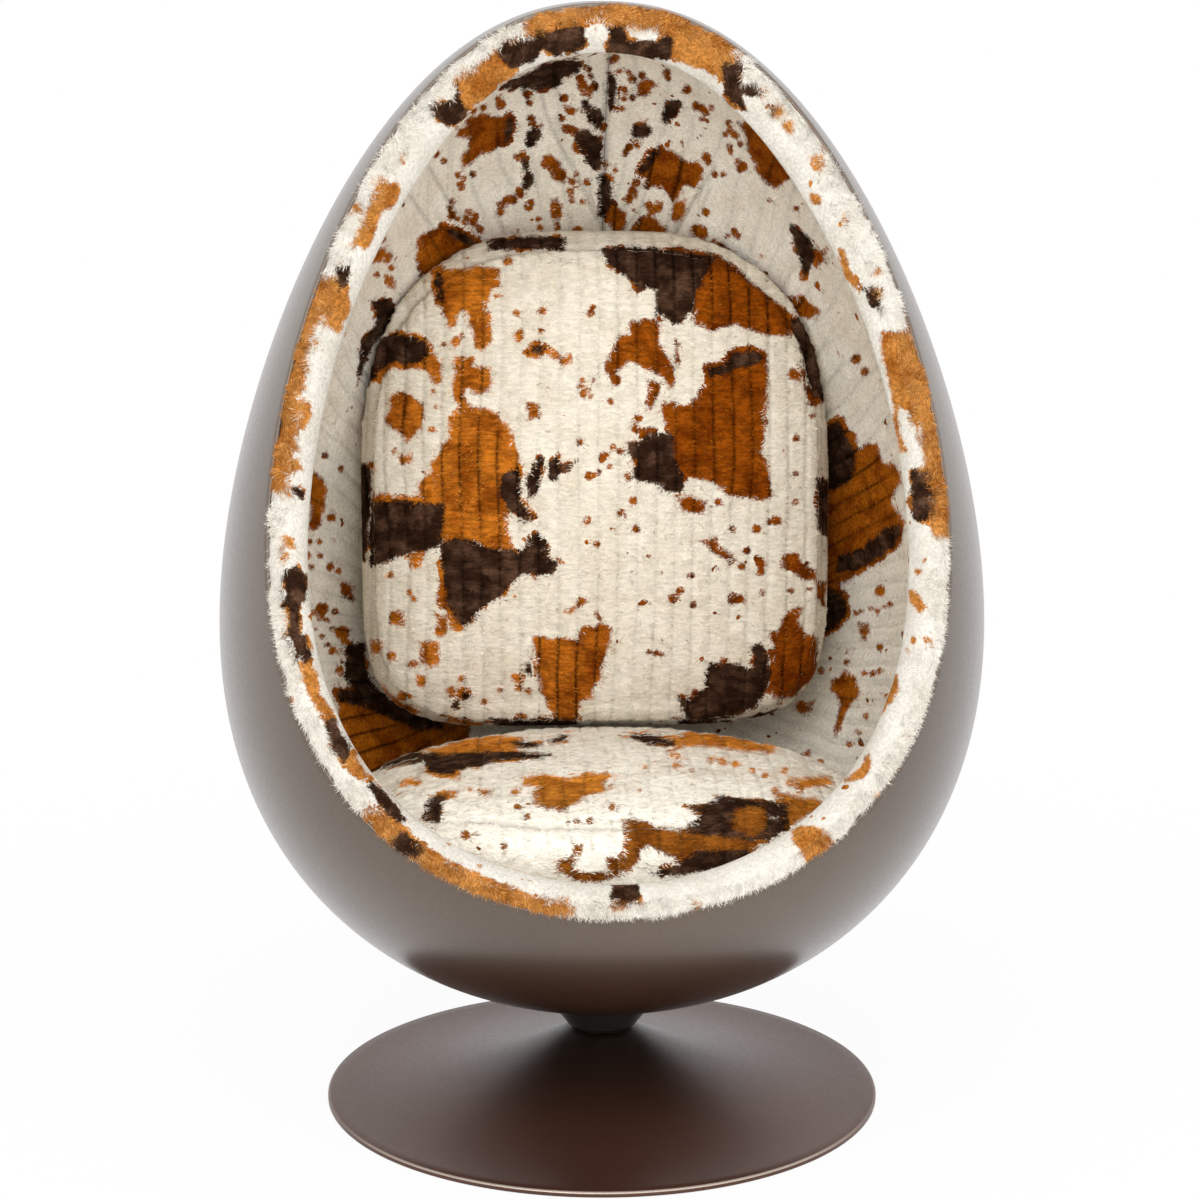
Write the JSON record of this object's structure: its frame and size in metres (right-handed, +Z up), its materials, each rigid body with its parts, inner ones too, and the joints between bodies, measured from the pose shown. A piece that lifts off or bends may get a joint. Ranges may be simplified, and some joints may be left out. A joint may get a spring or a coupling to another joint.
{
  "type": "swivel armchair",
  "caption": "High-backed egg-shaped swivel armchair with a lacquered shell, fur lining, loose seat and back cushions and a round trumpet base.",
  "frame": {"origin": "on the floor, on the swivel axis at the base's middle", "axes": "+Z up, -Y the way the sitter faces, +X the sitter's left (the right of the picture)"},
  "size_m": [0.8584, 0.8052, 1.2462],
  "materials": {
    "shell_lacquer": "satin metallic taupe lacquer on moulded composite",
    "base_lacquer": "satin metallic taupe lacquer on spun steel",
    "dark_collar": "satin near-black",
    "zinc_steel": "zinc plated",
    "black_steel": "black painted ballast plate",
    "hardened_steel": "ground",
    "white_nylon": "natural nylon",
    "felt_rubber": "matt black",
    "birch_plywood": "bare plywood",
    "cream_foam": "open-cell foam",
    "cow_print_fur": "long-pile fur, cream with brown and dark chocolate cow patches, laid in pile ribs",
    "brown_zip": "coil zip"
  },
  "bodies": {
    "base": {"floor_pad": "felt_rubber", "base_plate": "black_steel", "base_cover": "base_lacquer", "post_tube": "zinc_steel", "post_bolt_1": "zinc_steel", "post_bolt_2": "zinc_steel", "post_bolt_3": "zinc_steel", "post_bolt_4": "zinc_steel", "lower_bush": "white_nylon", "upper_bush": "white_nylon", "lower_race": "hardened_steel", "neck_ring": "white_nylon"},
    "cage": {"ball_cage": "white_nylon", "bearing_ball_1": "hardened_steel", "bearing_ball_2": "hardened_steel", "bearing_ball_3": "hardened_steel", "bearing_ball_4": "hardened_steel", "bearing_ball_5": "hardened_steel", "bearing_ball_6": "hardened_steel", "bearing_ball_7": "hardened_steel", "bearing_ball_8": "hardened_steel"},
    "seat": {"upper_race": "hardened_steel", "swivel_spindle": "zinc_steel", "retaining_washer": "zinc_steel", "retaining_clip": "hardened_steel", "swivel_collar": "dark_collar", "egg_shell": "shell_lacquer", "backing_plate": "zinc_steel", "shell_bolt_1": "zinc_steel", "shell_bolt_2": "zinc_steel", "shell_bolt_3": "zinc_steel", "shell_bolt_4": "zinc_steel", "shell_nut_1": "zinc_steel", "shell_nut_2": "zinc_steel", "shell_nut_3": "zinc_steel", "shell_nut_4": "zinc_steel", "deck_rib_long": "birch_plywood", "deck_rib_cross": "birch_plywood", "seat_deck": "birch_plywood", "deck_screw_1": "zinc_steel", "deck_screw_2": "zinc_steel", "deck_screw_3": "zinc_steel", "deck_screw_4": "zinc_steel", "shell_padding": "cream_foam", "fur_lining_left": "cow_print_fur", "fur_lining_right": "cow_print_fur", "rim_trim": "cow_print_fur", "seat_cushion_cover": "cow_print_fur", "seat_cushion_foam": "cream_foam", "seat_zip": "brown_zip", "back_cushion_cover": "cow_print_fur", "back_cushion_foam": "cream_foam", "back_zip": "brown_zip"}
  },
  "joints": [
    {"name": "seat_swivel", "type": "hinge", "parent": "base", "child": "seat", "pos_m": [0, 0, 0.08], "axis": [0, 0, 1], "continuous": true},
    {"name": "cage_turn", "type": "hinge", "parent": "base", "child": "cage", "pos_m": [0, 0, 0.08], "axis": [0, 0, 1], "continuous": true}
  ],
  "couplings": [
    {"joint": "cage_turn", "follows": "seat_swivel", "ratio": 0.5}
  ]
}
